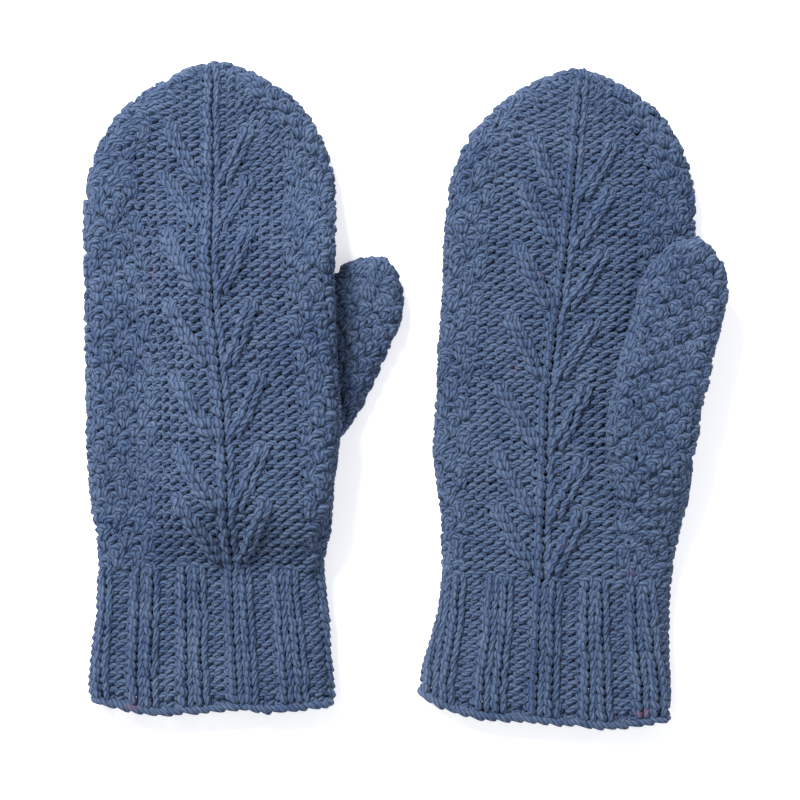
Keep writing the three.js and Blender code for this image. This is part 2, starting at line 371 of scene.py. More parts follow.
def thumb_line(mitten, base_y):
    """The thumb's middle line, straight up at the palm and then along the thumb, by its length."""
    lean = np.array([math.sin(mitten.thumb_angle), math.cos(mitten.thumb_angle)])
    start = np.array([thumb_base_x(mitten), base_y])
    join = mitten.crotch[:2] + THUMB_BEND_LENGTH * lean
    t = np.linspace(0, 1, 200)[:, None]
    pull = THUMB_BEND_LENGTH / 3
    first, second = start + np.array([0, pull]), join - pull * lean
    bend = (
        (1 - t) ** 3 * start + 3 * (1 - t) ** 2 * t * first
        + 3 * (1 - t) * t ** 2 * second + t ** 3 * join
    )
    below = start + np.linspace(-10, 0, 20, endpoint=False)[:, None] * np.array([0, 1])
    end = mitten.crotch[:2] + mitten.thumb_length * lean
    rest = join + np.linspace(0, 1, 200)[1:, None] * (end - join)
    line = np.concatenate([below, bend, rest])
    along = np.concatenate([[0], np.cumsum(np.linalg.norm(np.diff(line, axis=0), axis=1))]) - 10
    slope = np.gradient(line, along, axis=0)
    return along, line, np.arctan2(slope[:, 0], slope[:, 1])


def gusset_rise(mitten, x, s, face):
    """How far the palm swells towards the thumb."""
    crotch_y = mitten.crotch[1]
    share = smooth(s, GUSSET_START, crotch_y + 4)
    centre = mix(GUSSET_START_X, thumb_base_x(mitten), share)
    half = mix(GUSSET_START_HALF_WIDTH, THUMB_HALF_WIDTH - WALL_DEPTH + 0.4, share)
    apart = np.clip(np.abs(x - centre) / half, 0, 1)
    arch = (1 - apart ** 2.6) ** (1 / 2.2)
    full = THUMB_CLEARANCE + THUMB_LIFT + THUMB_THICKNESS - 0.2
    return full * share * arch * smooth(face, -0.9, 0.7)


def hand_level(mitten, y, with_gusset, crown_rise=None):
    turn = np.arange(SECTION_STEPS) / SECTION_STEPS
    x, s, z = hand_section(mitten, y, turn, with_gusset, crown_rise)
    from_palm_trunk = np.abs(x - np.interp(y, *mitten.palm_trunk))
    from_back_trunk = np.abs(x - np.interp(y, *mitten.back_trunk))
    palm = np.argmin(np.where((turn > 0.25) & (turn < 0.75), np.inf, from_palm_trunk))
    back = np.argmin(np.where((turn < 0.25) | (turn > 0.75), np.inf, from_back_trunk))
    points = mitten.world(x, s, z, mitten.drape(x, s))
    if mitten.facing < 0:
        # seen from outside, a round always runs to the right
        points, palm, back = points[::-1], SECTION_STEPS - 1 - palm, SECTION_STEPS - 1 - back
    return Level(points, palm, back)


def hand_tubes(mitten):
    """The hand's surface below the thumb hole, with its swelling, and above it, without."""
    crown_start = mitten.length - CROWN_HEIGHT
    rib = [mix(CAST_ON_HEIGHT, RIB_TOP, k / RIB_ROUNDS) for k in range(RIB_ROUNDS)]
    rounds = round((crown_start - RIB_TOP) / HAND_ROUND)
    hand = [mix(RIB_TOP, crown_start, k / rounds) for k in range(rounds)]
    heights = rib + hand
    rises = [None] * len(heights)
    for k in range(CROWN_ROUNDS + 1):
        rise = CROWN_CLOSED_AT * k / CROWN_ROUNDS
        heights.append(mix(crown_start, mitten.top, rise))
        rises.append(rise)
    plain = [hand_level(mitten, y, False, r) for y, r in zip(heights, rises)]
    swelled = [
        hand_level(mitten, y, True, r) if GUSSET_START < y < mitten.crotch[1] + 20 else plain[i]
        for i, (y, r) in enumerate(zip(heights, rises))
    ]
    crotch_row = int(np.argmin(np.abs(np.array(heights) - mitten.crotch[1] - 3)))
    swelled, plain = Tube(swelled, mitten.random), Tube(plain, mitten.random)
    plain.uneven_up, plain.uneven_out = swelled.uneven_up, swelled.uneven_out
    return swelled, plain, heights, crotch_row


def thumb_tube(mitten, base_y):
    """The thumb's surface, from its base on the palm to its drawn-up tip."""
    fine, line, angle = thumb_line(mitten, base_y)
    reach = fine[-1] - WALL_DEPTH
    crown_start = reach - THUMB_CROWN
    middle_z = LYING_THICKNESS / 2 + THUMB_CLEARANCE + THUMB_LIFT + THUMB_THICKNESS / 2

    def shape(s):
        share = crown_share((s - crown_start) / (reach - crown_start))
        tuck = 1.3 * (1 - smooth(s, -2, 7))
        half = THUMB_HALF_WIDTH - WALL_DEPTH + 0.3 - 0.6 * smooth(s, 0, crown_start) - tuck
        half = half * np.maximum(share, 0.01)
        thick = (THUMB_THICKNESS / 2 - WALL_DEPTH + 0.2 - 0.7 * tuck) * (0.35 + 0.65 * np.sqrt(share))
        return half, thick

    outline = np.linspace(crown_start, reach, 300)
    run = np.concatenate([[0], np.cumsum(np.hypot(np.diff(outline), np.diff(shape(outline)[0])))])

    def level(y, rise=None):
        turn = np.arange(SECTION_STEPS) / SECTION_STEPS
        half, thick = shape(np.asarray(y, float))
        x, z = flat_oval(half, thick, turn)
        s = np.full_like(x, y)
        if rise is not None:
            side = np.interp(rise * run[-1], run, outline)
            s = mix(s, side, np.clip(np.abs(x) / half, 0, 1) ** 2)
            x, z = flat_oval(*shape(s), turn)
        lean = np.interp(s, fine, angle)
        px = np.interp(s, fine, line[:, 0]) + x * np.cos(lean)
        py = np.interp(s, fine, line[:, 1]) - x * np.sin(lean)
        points = mitten.world(px, py, z + middle_z, mitten.raised)
        first, half_way = 0, SECTION_STEPS // 2
        if mitten.facing < 0:
            points, first = points[::-1], SECTION_STEPS - 1
            half_way = SECTION_STEPS // 2 - 1
        return Level(points, first, half_way)

    rounds = round(crown_start / THUMB_ROUND)
    heights = [mix(0, crown_start, k / rounds) for k in range(-1, rounds)]
    levels = [level(y) for y in heights]
    for k in range(THUMB_CROWN_ROUNDS + 1):
        rise = THUMB_CLOSED_AT * k / THUMB_CROWN_ROUNDS
        heights.append(mix(crown_start, reach, rise))
        levels.append(level(heights[-1], rise))
    return Tube(levels, mitten.random), heights


# ---------------------------------------------------------------- stitches

class Stitch:
    """A column of stitches. Its slot is its place in the round."""

    def __init__(self, kind, parity=0):
        self.kind, self.parity, self.nudge = kind, parity, 0.0

    def face(self, row):
        """+1 where the stitch shows its knit side outside, -1 where it shows its purl side."""
        if self.kind in ("trunk", "branch", "rib_knit"):
            return 1
        if self.kind == "moss":
            return 1 if (self.parity + row // 2) % 2 else -1
        if self.kind == "seed":
            return 1 if (self.parity + row) % 2 else -1
        return -1

    def stand(self):
        """How far the column stands out of the fabric."""
        return STAND.get(self.kind, 0.1)

    def unevenness(self):
        """How unevenly its loops are drawn, against an even stitch."""
        return 1.6 if self.kind in ("moss", "seed") else 1.0

    def spread(self):
        """How far apart its legs stand, against a plain stitch."""
        return KNIT_SPREAD if self.kind in ("trunk", "branch", "rib_knit") else 1.0

    def girth(self):
        """How plump its yarn lies, against the yarn's own radius."""
        return PLUMPNESS.get(self.kind, 1.08)


class Round:
    """The stitches of one round with their places across, their widths, and what they become."""

    def __init__(self, row, stitches, places, widths, lengths):
        self.stitches, self.places = list(stitches), np.array(places, float)
        self.widths, self.lengths = np.array(widths, float), lengths
        self.faces = [stitch.face(row) for stitch in self.stitches]
        self.stands = [stitch.stand() for stitch in self.stitches]
        self.girths = [stitch.girth() for stitch in self.stitches]
        self.spreads = [stitch.spread() for stitch in self.stitches]
        self.unevenness = [stitch.unevenness() for stitch in self.stitches]


def rib_round(level, lead):
    """Two knit, two purl, starting from a knit pair in the middle of the shown face."""
    total = sum(level.lengths)
    average = total / RIB_STITCHES
    knit = average * RIB_KNIT_SHARE
    purl = 2 * average - knit
    widths = np.tile([knit, knit, purl, purl], RIB_STITCHES // 4)
    places = (lead - knit + np.cumsum(widths) - widths / 2) % total
    first = level.lengths[0]
    across = np.where(places < first, places / first, 1 + (places - first) / level.lengths[1])
    return across, widths


class Half:
    """The columns on one side of the hand, between the palm's trunk and the back's trunk."""

    def __init__(self, count):
        self.stitches = [Stitch("moss", i % 2) for i in range(count)]
        for i in range(TREE_GROUND):
            self.stitches[i].kind = "ground"
            self.stitches[-1 - i].kind = "ground"
        self.shares = (np.arange(count) + 0.5) / count

    def relax(self):
        even = (np.arange(len(self.stitches)) + 0.5) / len(self.stitches)
        self.shares = self.shares + 0.75 * (even - self.shares)

    def insert(self, at, kind, parity):
        low = self.shares[at - 1]
        high = self.shares[at]
        self.shares = np.insert(self.shares, at, (low + high) / 2)
        self.stitches.insert(at, Stitch(kind, parity))

    def remove(self, at):
        self.shares = np.delete(self.shares, at)
        return self.stitches.pop(at)


# Places in a side of the hand, as shares of its columns. The thumb's stitches leave the round and
# are added at one place for each side, and decreases fall at two places in turn.
THUMB_LEAVES_AT = (0.36, 0.64)
THUMB_GROWS_AT = (0.34, 0.66)
DECREASE_AT = (0.7, 0.3)
MOST_COLUMNS_WITHOUT_BRANCHES = 10

# Which column from the trunk a branch is in, round by round, and how far it leans in its column
RIGHT_BRANCH = ((0, -0.3), (0, 0.1), (1, -0.4), (1, -0.1), (1, 0.25), (2, -0.3), (2, 0.0))
LEFT_BRANCH = ((0, -0.3), (0, 0.2), (1, -0.3), (1, 0.2), (2, -0.3), (2, 0.2), (3, -0.25))


def grow_branches(half, row, starts, from_front):
    """Moves the travelling stitches of one side, and starts and ends them."""
    route = RIGHT_BRANCH if from_front else LEFT_BRANCH
    n = len(half.stitches)
    outward = 1 if from_front else -1
    for start in starts:
        age = row - start
        if age < 0 or age > len(route):
            continue
        slot, lean = route[min(age, len(route) - 1)]
        index = slot if from_front else n - 1 - slot
        if age == len(route):
            half.stitches[index].kind = "ground"
            half.stitches[index].nudge = 0.0
            continue
        if age == 0:
            half.stitches[index].kind = "branch"
        elif route[age - 1][0] != slot:
            before = index - outward
            pair = half.stitches[before], half.stitches[index]
            half.stitches[index], half.stitches[before] = pair
            half.stitches[before].nudge = 0.0
        half.stitches[index].nudge = outward * lean


# The tips of the branches, from the hem, and how many rounds a branch takes to its tip
BRANCH_TIPS = (83.6, 111.0, 140.5, 168.5, 196.0, 220.5, 241.0)
BRANCH_ROUNDS = 7


def knit_hand(mitten, tubes, heights, crotch_row):
    """Lays out every round of cuff and hand."""
    swelled, plain = tubes
    rounds = []
    thumb_half = 1 if mitten.facing < 0 else 0
    halves = None
    starts = [int(np.argmin(np.abs(np.array(heights) - tip))) - BRANCH_ROUNDS for tip in BRANCH_TIPS]
    starts = [max(s, RIB_ROUNDS + 1) for s in starts]
    rib = [Stitch(("rib_knit", "rib_knit", "rib_purl", "rib_purl")[i % 4]) for i in range(RIB_STITCHES)]
    for row in range(len(heights) - 1):
        tube = swelled if row < crotch_row else plain
        level = tube.levels[row]
        if row < RIB_ROUNDS:
            lead = level.lengths[0] if mitten.thumb_below else 0
            across, widths = rib_round(level, lead + CUFF_LEAD)
            rounds.append(Round(row, rib, across, widths, level.lengths))
            continue
        wanted = []
        for length in level.lengths:
            pitch = HAND_PITCH * mix(1, 0.9, smooth(row, len(heights) - 16, len(heights) - 4))
            wanted.append(max(4, round((length - TRUNK_WIDTH) / pitch)))
        if halves is None:
            halves = [Half(n) for n in wanted]
            trunks = Stitch("trunk"), Stitch("trunk")
        for i, half in enumerate(halves):
            change = wanted[i] - len(half.stitches)
            is_thumb = i == thumb_half
            if is_thumb and row == crotch_row:
                # the thumb's stitches leave the round
                while len(half.stitches) > wanted[i]:
                    middle = int(len(half.stitches) * THUMB_LEAVES_AT[thumb_half])
                    half.remove(middle)
                half.shares = (np.arange(wanted[i]) + 0.5) / wanted[i]
            elif change > 0:
                n = len(half.stitches)
                at = int(n * (THUMB_GROWS_AT[thumb_half] if is_thumb else 0.5))
                half.insert(at, "seed" if is_thumb and row < crotch_row else "moss", row % 2)
            elif change < 0:
                for step in range(min(-change, 2)):
                    n = len(half.stitches)
                    at = int(n * DECREASE_AT[(row + step) % 2])
                    if half.stitches[at].kind != "branch":
                        half.remove(at)
            half.relax()
            count = len(half.stitches)
            for k, stitch in enumerate(half.stitches):
                stitch.parity = min(k, count - 1 - k)
            for from_front in (True, False):
                if len(half.stitches) > MOST_COLUMNS_WITHOUT_BRANCHES:
                    grow_branches(half, row, starts, from_front)
        stitches, places, widths = [], [], []
        for i, half in enumerate(halves):
            length = level.lengths[i]
            free = length - TRUNK_WIDTH
            pitch = free / len(half.stitches)
            stitches.append(trunks[i])
            places.append(float(i))
            widths.append(TRUNK_WIDTH)
            for stitch, share in zip(half.stitches, half.shares):
                stitches.append(stitch)
                places.append(i + (TRUNK_WIDTH / 2 + share * free + stitch.nudge * pitch) / length)
                widths.append(pitch * (1.35 if stitch.kind == "branch" else 1.0))
        rounds.append(Round(row, stitches, places, widths, level.lengths))
    return rounds


def knit_thumb(tube, heights):
    """Lays out the rounds of a thumb in seed stitch."""
    rounds = []
    stitches = [Stitch("seed", i % 2) for i in range(THUMB_STITCHES)]
    for row in range(len(heights) - 1):
        level = tube.levels[row]
        total = sum(level.lengths)
        count = max(6, min(THUMB_STITCHES, 2 * round(total / HAND_PITCH / 2)))
        while len(stitches) > count:
            stitches.pop(len(stitches) // 3)
        width = total / len(stitches)
        places = (np.arange(len(stitches)) + 0.5) * 2 / len(stitches)
        rounds.append(Round(row, stitches, places, [width] * len(stitches), level.lengths))
    return rounds


def nearest(place, places):
    apart = np.abs((places - place + 1) % 2 - 1)
    return int(np.argmin(apart))


def settle(points, girth):
    """Yarn under a mitten lies down on the floor instead of reaching below it."""
    low = girth + FLOOR_ROOM
    points[:, 2] = low + SETTLE * np.logaddexp(0, (points[:, 2] - low) / SETTLE)
    return points


# The half loop from its foot to its head: across in widths, up in rounds, and out in loop depths
LOOP_SHAPE = (
    # across at foot, across at head, towards head, up, out with own face, out with face above
    (0.37, 0.00, 0.0, -0.16, -0.88, 0.00),
    (0.22, 0.00, 0.0, 0.04, -0.10, 0.00),
    (0.19, 0.00, 0.0, 0.34, 0.95, 0.00),
    (0.23, 0.28, 0.5, 0.70, 0.75, -0.10),
    (0.00, 0.35, 1.0, 1.00, 0.20, -0.50),
    (0.00, 0.23, 1.0, 1.20, 0.00, -0.92),
)
HEAD_HEIGHT = 1.26          # of the middle of a loop's head, in rounds above its foot
SINKER_HEIGHT = -0.25       # of the yarn between two stitches
KNIT_SLANT = 0.07           # heads and feet rise a little to the right
PURL_SLANT = 0.15
SHEAR = 0.15                # feet sit to the right of their heads, so left legs lean more


def course(tube, rounds, row, random, ratios=(1, 1)):
    """The yarn of one round, as a closed line of points with a thickness for each."""
    here = rounds[row]
    above = rounds[row + 1] if row + 1 < len(rounds) else None
    n = len(here.stitches)
    where = {id(s): i for i, s in enumerate(above.stitches)} if above else {}
    scale = 2 / sum(here.lengths)
    places_above = above.places if above else None
    if ratios != (1, 1):
        half, part = np.floor(places_above), places_above % 1
        ratio = np.where(half < 1, *ratios)
        part = np.where(part < 0.5, part * ratio, 1 - (1 - part) * ratio)
        places_above = half + part
    across, up, out, thick = [], [], [], []
    heads = []
    for i in range(n):
        stitch = here.stitches[i]
        if above is None:
            heads.append((here.places[i], here.widths[i], here.faces[i], here.stands[i]))
            continue
        j = where.get(id(stitch))
        if j is None:
            j = nearest(here.places[i], places_above)
        step = (places_above[j] - here.places[i] + 1) % 2 - 1
        if abs(step) * sum(here.lengths) / 2 > 1.2 * here.widths[i]:
            step = 0.0
        heads.append((here.places[i] + step, above.widths[j], above.faces[j], above.stands[j]))
    jitter = random.normal(0, 1, (n, 6))
    for i in range(n):
        foot, head = here.places[i], heads[i][0]
        wide, head_wide = here.widths[i] * scale, heads[i][1] * scale
        face, face_above = here.faces[i], heads[i][2]
        stand, head_stand = here.stands[i], heads[i][3]
        k = (i + 1) % n
        foot_next = here.places[k]
        gap = (foot_next - foot + 1) % 2 - 1
        wobble = jitter[i] * here.unevenness[i]
        girth = YARN_RADIUS * (1 + 0.06 * wobble[0]) * here.girths[i]
        foot = foot + (SHEAR if face > 0 else 0.6 * SHEAR) * wide + 0.05 * wide * wobble[1]
        head = head + 0.05 * head_wide * wobble[2]
        lift = 0.06 * wobble[3]
        depth = LOOP_DEPTH * (1 + 0.1 * wobble[4])
        slant = (PURL_SLANT if face < 0 else KNIT_SLANT) + 0.03 * wobble[5]
        for side, leg_girth in zip((-1, 1), LEG_GIRTHS if face > 0 else (1, 1)):
            order = LOOP_SHAPE if side < 0 else reversed(LOOP_SHAPE)
            for at_foot, at_head, share, y, own, top in order:
                apart = side * (here.spreads[i] if 0 < y < 0.9 else 1)
                x = mix(foot + apart * at_foot * wide, head + apart * at_head * head_wide, share)
                across.append(x)
                up.append(row + y + lift + side * slant * mix(-1, 1, np.clip(y, 0, 1)))
                standing = mix(stand, head_stand, np.clip(y, 0, 1))
                out.append(depth * (own * face + top * face_above) + standing)
                thick.append(girth * (leg_girth if 0 < y < 1.1 else 1.0))
            if side < 0:
                across.append(head)
                up.append(row + HEAD_HEIGHT + lift)
                out.append(-depth * face_above + head_stand)
                thick.append(girth)
        across.append(foot + gap / 2 - SHEAR * wide / 2)
        up.append(row + SINKER_HEIGHT + lift)
        out.append(-LOOP_DEPTH * (face + here.faces[k]) / 2 + (stand + here.stands[k]) / 2)
        thick.append(girth)
    points = tube.point(np.array(across), np.array(up), np.array(out))
    return settle(points, np.array(thick)), np.array(thick)


# ---------------------------------------------------------------- yarn as a mesh

def yarn_tree():
    """Sweeps a round section, as thick as each point's girth, along every line of the input."""
    tree = bpy.data.node_groups.new("spin_yarn", "GeometryNodeTree")
    face = tree.interface
    face.new_socket("Geometry", in_out="INPUT", socket_type="NodeSocketGeometry")
    sides = face.new_socket("Sides", in_out="INPUT", socket_type="NodeSocketInt")
    sides.default_value = 7
    wool = face.new_socket("Material", in_out="INPUT", socket_type="NodeSocketMaterial")
    face.new_socket("Geometry", in_out="OUTPUT", socket_type="NodeSocketGeometry")
    nodes, link = tree.nodes, tree.links.new
    begin, finish = nodes.new("NodeGroupInput"), nodes.new("NodeGroupOutput")
    to_curve = nodes.new("GeometryNodeMeshToCurve")
    link(begin.outputs["Geometry"], to_curve.inputs["Mesh"])
    girth = nodes.new("GeometryNodeInputNamedAttribute")
    girth.data_type = "FLOAT"
    girth.inputs["Name"].default_value = "girth"
    section = nodes.new("GeometryNodeCurvePrimitiveCircle")
    section.mode = "RADIUS"
    section.inputs["Radius"].default_value = 1.0
    link(begin.outputs["Sides"], section.inputs["Resolution"])
    sweep = nodes.new("GeometryNodeCurveToMesh")
    link(to_curve.outputs["Curve"], sweep.inputs["Curve"])
    link(section.outputs["Curve"], sweep.inputs["Profile Curve"])
    link(girth.outputs["Attribute"], sweep.inputs["Scale"])
    sweep.inputs["Fill Caps"].default_value = True
    shade = nodes.new("GeometryNodeSetShadeSmooth")
    link(sweep.outputs["Mesh"], shade.inputs["Geometry"])
    whole = nodes.new("GeometryNodeRealizeInstances")
    link(shade.outputs["Geometry"], whole.inputs["Geometry"])
    coat = nodes.new("GeometryNodeSetMaterial")
    link(whole.outputs["Geometry"], coat.inputs["Geometry"])
    link(begin.outputs["Material"], coat.inputs["Material"])
    link(coat.outputs["Geometry"], finish.inputs["Geometry"])
    return tree, sides.identifier, wool.identifier


YARN_TREE, SIDES_INPUT, WOOL_INPUT = yarn_tree()


def lay_out(mesh, lines, sides, strip):
    """Marks every point with its turn in the ply, and unrolls the yarn into rows on the piece's map."""
    first, start, length, last = [], [], [], []
    count = 0
    unrolled = 0.0
    for line, _, closed in lines:
        steps = np.linalg.norm(np.diff(np.vstack([line, line[:1]]), axis=0), axis=1)
        run = np.concatenate([[0], np.cumsum(steps)])
        first.append(np.full(len(line), count))
        last.append(np.full(len(line), count + len(line) - 1))
        start.append(unrolled + run[:-1])
        length.append(np.full(len(line), run[-1]))
        count += len(line)
        unrolled += run[-1]
    first, start, length, last = (np.concatenate(part) for part in (first, start, length, last))
    begin = start[first]
    turns = np.round(length / PLY_PITCH)
    point = np.arange(len(mesh.vertices)) // sides
    turn = (np.arange(len(mesh.vertices)) % sides) / sides
    phase = 2 * math.pi * (turn + PLY_HAND * turns[point] * (start - begin)[point] / length[point])
    ply = np.stack([np.cos(phase), np.sin(phase), (start - begin)[point] / PLY_PITCH], -1)
    mark = mesh.attributes.new("ply", "FLOAT_VECTOR", "POINT")
    mark.data.foreach_set("vector", ply.astype(np.float32).ravel())

    corners = np.empty(len(mesh.loops), int)
    mesh.loops.foreach_get("vertex_index", corners)
    starts, sizes = np.empty(len(mesh.polygons), int), np.empty(len(mesh.polygons), int)
    mesh.polygons.foreach_get("loop_start", starts)
    mesh.polygons.foreach_get("loop_total", sizes)

    def span(values):
        ends = np.minimum.reduceat(values, starts), np.maximum.reduceat(values, starts)
        return tuple(np.repeat(end, sizes) for end in ends)

    p, k = corners // sides, corners % sides
    low, high = span(k)
    k = np.where((k == 0) & (high == sides - 1) & (low == 0), sides, k)
    high = span(p)[1]
    wraps = (p == first[p]) & (high == last[p]) & (last[p] - first[p] > 1)
    reach = np.where(wraps, begin[p] + length[p], start[p])
    rows = max(1, int(math.sqrt(unrolled / (2 * math.pi * YARN_RADIUS))))
    row_length = unrolled / rows
    band = np.floor(span(reach)[0] / row_length).clip(0, rows - 1)
    u = (reach - band * row_length) / (row_length + MAP_SPARE_LENGTH)
    v = (band + 0.04 + 0.92 * k / sides) / rows
    chart = mesh.uv_layers.new(name="OFBake")
    uv = np.stack([u, mix(*strip, v)], -1)
    chart.data.foreach_set("uv", uv.astype(np.float32).ravel())


def spin(name, lines, material, sides=7, strip=(0, 1)):
    """A mesh piece from lines of yarn, each (points, thicknesses, closed), in millimetres."""
    points = np.concatenate([line[0] for line in lines]) * METRE
    girths = np.concatenate([line[1] for line in lines]) * METRE
    edges, first = [], 0
    for line, _, closed in lines:
        count = len(line)
        ids = np.arange(first, first + count)
        pairs = np.stack([ids, np.roll(ids, -1)], -1)
        edges.append(pairs if closed else pairs[:-1])
        first += count
    edges = np.concatenate(edges)
    mesh = bpy.data.meshes.new(name)
    mesh.vertices.add(len(points))
    mesh.vertices.foreach_set("co", points.ravel())
    mesh.edges.add(len(edges))
    mesh.edges.foreach_set("vertices", edges.ravel())
    attribute = mesh.attributes.new("girth", "FLOAT", "POINT")
    attribute.data.foreach_set("value", girths.astype(np.float32))
    mesh.update()
    source = bpy.data.objects.new(name, mesh)
    bpy.context.scene.collection.objects.link(source)
    modifier = source.modifiers.new("yarn", "NODES")
    modifier.node_group = YARN_TREE
    modifier[SIDES_INPUT] = sides
    modifier[WOOL_INPUT] = material
    graph = bpy.context.evaluated_depsgraph_get()
    made = bpy.data.meshes.new_from_object(source.evaluated_get(graph))
    source.modifiers.remove(modifier)
    source.data = made
    made.name = name
    bpy.data.meshes.remove(mesh)
    lay_out(made, lines, sides, strip)
    return source


def socket(tree, kind, name, default, way="INPUT"):
    made = tree.interface.new_socket(name, in_out=way, socket_type=kind)
    if default is not None:
        made.default_value = default
    return made


def plied_wool_group():
    """Colour and height of plied, heathered wool, from the turn of its plies and its place. The colour
    holds painted shade in the grooves between the plies and a painted highlight on their ridges.
    """
    tree = bpy.data.node_groups.new("plied_wool", "ShaderNodeTree")
    # Shade is the painted shade deep in the grooves between plies, and also the wool's darkest heathered
    # tone
    socket(tree, "NodeSocketColor", "Shade", (0.05, 0.075, 0.14, 1))
    socket(tree, "NodeSocketColor", "Colour", (0.12, 0.17, 0.29, 1))
    socket(tree, "NodeSocketColor", "Fleck", (0.22, 0.09, 0.14, 1))
    socket(tree, "NodeSocketFloat", "Plies", 4.0)
    socket(tree, "NodeSocketColor", "Colour", None, "OUTPUT")
    socket(tree, "NodeSocketFloat", "Height", None, "OUTPUT")
    nodes, link = tree.nodes, tree.links.new
    begin, finish = nodes.new("NodeGroupInput"), nodes.new("NodeGroupOutput")

    def math_node(operation, *values, clamp=False):
        node = nodes.new("ShaderNodeMath")
        node.operation, node.use_clamp = operation, clamp
        for place, value in enumerate(values):
            if isinstance(value, (int, float)):
                node.inputs[place].default_value = value
            else:
                link(value, node.inputs[place])
        return node.outputs[0]

    def noise(vector, scale, detail, roughness=0.5):
        node = nodes.new("ShaderNodeTexNoise")
        node.inputs["Scale"].default_value = scale
        node.inputs["Detail"].default_value = detail
        node.inputs["Roughness"].default_value = roughness
        link(vector, node.inputs["Vector"])
        return node.outputs["Fac"]

    def blend_colour(share, low, high, kind="MIX"):
        node = nodes.new("ShaderNodeMix")
        node.data_type, node.blend_type = "RGBA", kind
        for value, name in ((share, "Factor_Float"), (low, "A_Color"), (high, "B_Color")):
            place = next(s for s in node.inputs if s.identifier == name)
            if hasattr(value, "links"):
                link(value, place)
            else:
                place.default_value = value
        return next(s for s in node.outputs if s.identifier == "Result_Color")

    ply = nodes.new("ShaderNodeAttribute")
    ply.attribute_name = "ply"
    parts = nodes.new("ShaderNodeSeparateXYZ")
    link(ply.outputs["Vector"], parts.inputs["Vector"])
    turn = math_node("ARCTAN2", parts.outputs["Y"], parts.outputs["X"])
    half_turns = math_node("MULTIPLY", turn, math_node("MULTIPLY", begin.outputs["Plies"], 0.5))
    # each ply's ridge is painted lighter and its groove darker, a painted highlight and painted shade;
    # the same ridges also raise the bump
    ply_ridge_light_and_height = math_node("POWER", math_node("ABSOLUTE", math_node("COSINE", half_turns)), 0.55)

    stretch = nodes.new("ShaderNodeVectorMath")
    stretch.operation = "MULTIPLY"
    stretch.inputs[1].default_value = (1, 1, 0.8)
    link(ply.outputs["Vector"], stretch.inputs[0])
    fibres = noise(stretch.outputs["Vector"], 4.5, 3, 0.6)
    place = nodes.new("ShaderNodeTexCoord").outputs["Object"]
    heather = noise(place, 140, 3, 0.6)
    patches = noise(place, 28, 2)
    hairs = noise(place, 900, 2, 0.7)
    flecks = noise(place, 75, 1)

    # the mix from Shade to Colour: painted shade and painted highlight across the plies, plus the wool's
    # own fibre, heather, patch and hair tones
    light = math_node("MULTIPLY_ADD", ply_ridge_light_and_height, 0.62, -0.06)
    light = math_node("ADD", light, math_node("MULTIPLY_ADD", fibres, 1.3, -0.62))
    light = math_node("ADD", light, math_node("MULTIPLY_ADD", heather, 0.7, -0.35))
    light = math_node("ADD", light, math_node("MULTIPLY_ADD", patches, 0.36, -0.18))
    light = math_node("ADD", light, math_node("MULTIPLY_ADD", hairs, 0.5, -0.25), clamp=True)
    colour = blend_colour(light, begin.outputs["Shade"], begin.outputs["Colour"])
    rare = math_node("MULTIPLY_ADD", flecks, 14, -10.4, clamp=True)
    colour = blend_colour(math_node("MULTIPLY", rare, 0.5), colour, begin.outputs["Fleck"])
    link(colour, finish.inputs["Colour"])
    height = math_node("MULTIPLY_ADD", fibres, 0.35, ply_ridge_light_and_height)
    height = math_node("MULTIPLY_ADD", hairs, 0.25, height)
    link(height, finish.inputs["Height"])
    return tree


PLIED_WOOL = plied_wool_group()


def wool_material(name, shade, colour):
    material = bpy.data.materials.new(name)
    material.use_nodes = True
    nodes, link = material.node_tree.nodes, material.node_tree.links.new
    surface = nodes["Principled BSDF"]
    surface.inputs["Roughness"].default_value = 0.88
    surface.inputs["Specular IOR Level"].default_value = 0.2
    surface.inputs["Sheen Weight"].default_value = 0.2
    surface.inputs["Sheen Roughness"].default_value = 0.45
    surface.inputs["Sheen Tint"].default_value = (0.55, 0.68, 1.0, 1)
    wool = nodes.new("ShaderNodeGroup")
    wool.node_tree = PLIED_WOOL
    wool.inputs["Shade"].default_value = shade
    wool.inputs["Colour"].default_value = colour
    wool.inputs["Plies"].default_value = PLIES
    link(wool.outputs["Colour"], surface.inputs["Base Color"])
    bump = nodes.new("ShaderNodeBump")
    bump.inputs["Strength"].default_value = 1.0
    bump.inputs["Distance"].default_value = 0.0005
    link(wool.outputs["Height"], bump.inputs["Height"])
    link(bump.outputs["Normal"], surface.inputs["Normal"])
    return material


# the first colour is the painted shade deep in the grooves between plies and the wool's darkest heather;
# the second is the wool's lit colour
WOOL = wool_material("blue_wool", (0.005, 0.022, 0.080, 1), (0.120, 0.170, 0.262, 1))


def knitted_piece(mitten, name, lines):
    piece = spin(f"{mitten.side}_{name}_knitting", lines, WOOL, strip=YARN_STRIP)
    halo = spin(f"{mitten.side}_{name}_halo", fibre_halo(mitten, lines), WOOL, 3, HALO_STRIP)
    join(piece, halo)
    return piece


def cast_on(tube, count, random):
    """A yarn that winds along the hem once for each stitch, round a straight one."""
    turn = np.arange(count * CAST_ON_STEPS) / CAST_ON_STEPS
    stitch = turn.astype(int)
    uneven = random.normal(0, 1, (3, count))
    angle = 2 * math.pi * turn
    drawn = np.sin(angle / 2) ** 2
    lean = -0.42 * np.cos(angle)
    across = 2 * (turn + lean + 0.12 * uneven[0][stitch] * drawn) / count
    coil = 1 + 0.12 * (uneven[1] - np.roll(uneven[1], 1))[stitch] * drawn
    up = -0.56 + 0.27 * coil * np.cos(angle)
    out = 1.15 * coil * np.sin(angle)
    girth = YARN_RADIUS * (1.04 + 0.05 * drawn * uneven[2][stitch])
    winding = settle(tube.point(across, up, out), girth)
    core_girth = np.full(len(turn), YARN_RADIUS)
    core = settle(tube.point(2 * turn / count, 0 * turn - 0.5, 0 * turn), core_girth)
    return [(winding, girth, True), (core[::3], core_girth[::3], True)]


